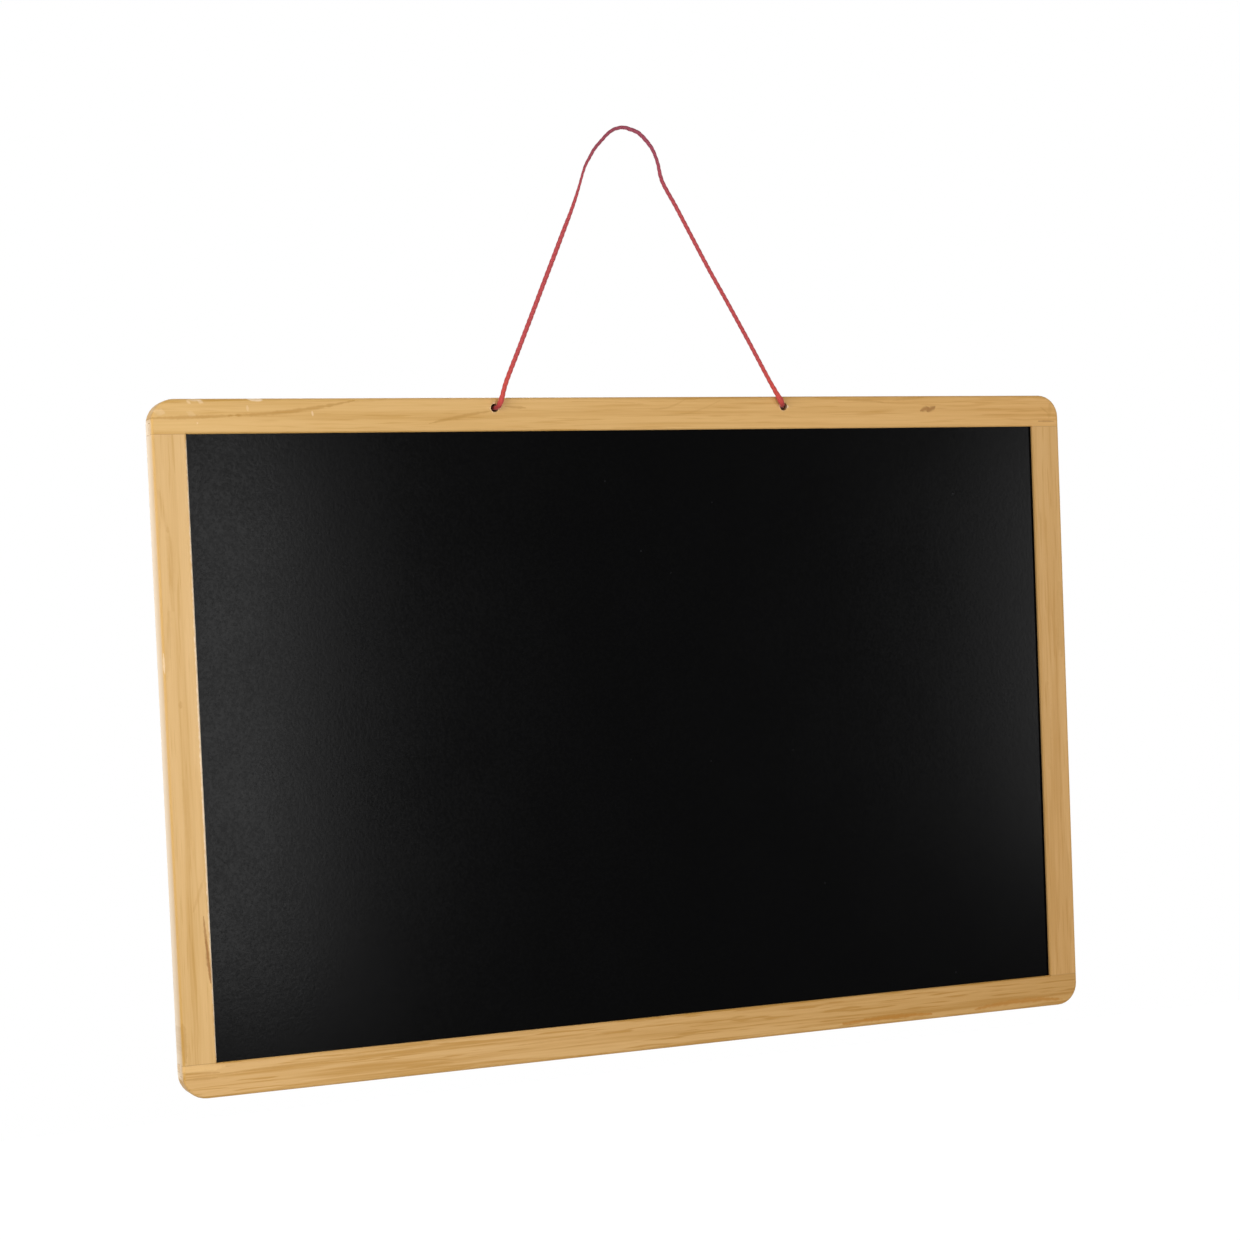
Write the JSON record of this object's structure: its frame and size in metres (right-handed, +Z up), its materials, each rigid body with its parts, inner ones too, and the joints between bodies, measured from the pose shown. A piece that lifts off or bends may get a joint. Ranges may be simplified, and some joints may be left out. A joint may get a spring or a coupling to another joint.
{
  "type": "wall chalkboard",
  "caption": "Black writing panel held in a rounded pine frame, hung from a nail by a loop of red cord that passes through holes in the top rail.",
  "frame": {"origin": "The point where the inner side of the cord's loop rests on its nail, on the cord's own centre plane.", "axes": "+X to the right of someone who faces the board, along its long side. +Y from the writing face towards the wall, through the board's thickness. +Z up."},
  "size_m": [0.45, 0.0208, 0.4227],
  "materials": {
    "pine": "clear satin varnish",
    "blackboard": "matt black chalkboard paint on hardboard",
    "cord": "soft twisted yarn",
    "staple": "plain bright wire"
  },
  "bodies": {
    "hanging_cord": {"cord_loop": "cord"},
    "board": {"top_rail": "pine", "bottom_rail": "pine", "left_stile": "pine", "right_stile": "pine", "writing_panel": "blackboard", "left_cord_end": "cord", "right_cord_end": "cord", "left_stopper_knot": "cord", "right_stopper_knot": "cord", "top_left_staple_1": "staple", "top_left_staple_2": "staple", "top_right_staple_1": "staple", "top_right_staple_2": "staple", "bottom_left_staple_1": "staple", "bottom_left_staple_2": "staple", "bottom_right_staple_1": "staple", "bottom_right_staple_2": "staple"}
  },
  "joints": [
    {"name": "board_swing", "type": "hinge", "parent": "hanging_cord", "child": "board", "pos_m": [0.002, 0, -0.1249], "axis": [-1, 0, 0], "range_deg": [0, 180]}
  ]
}
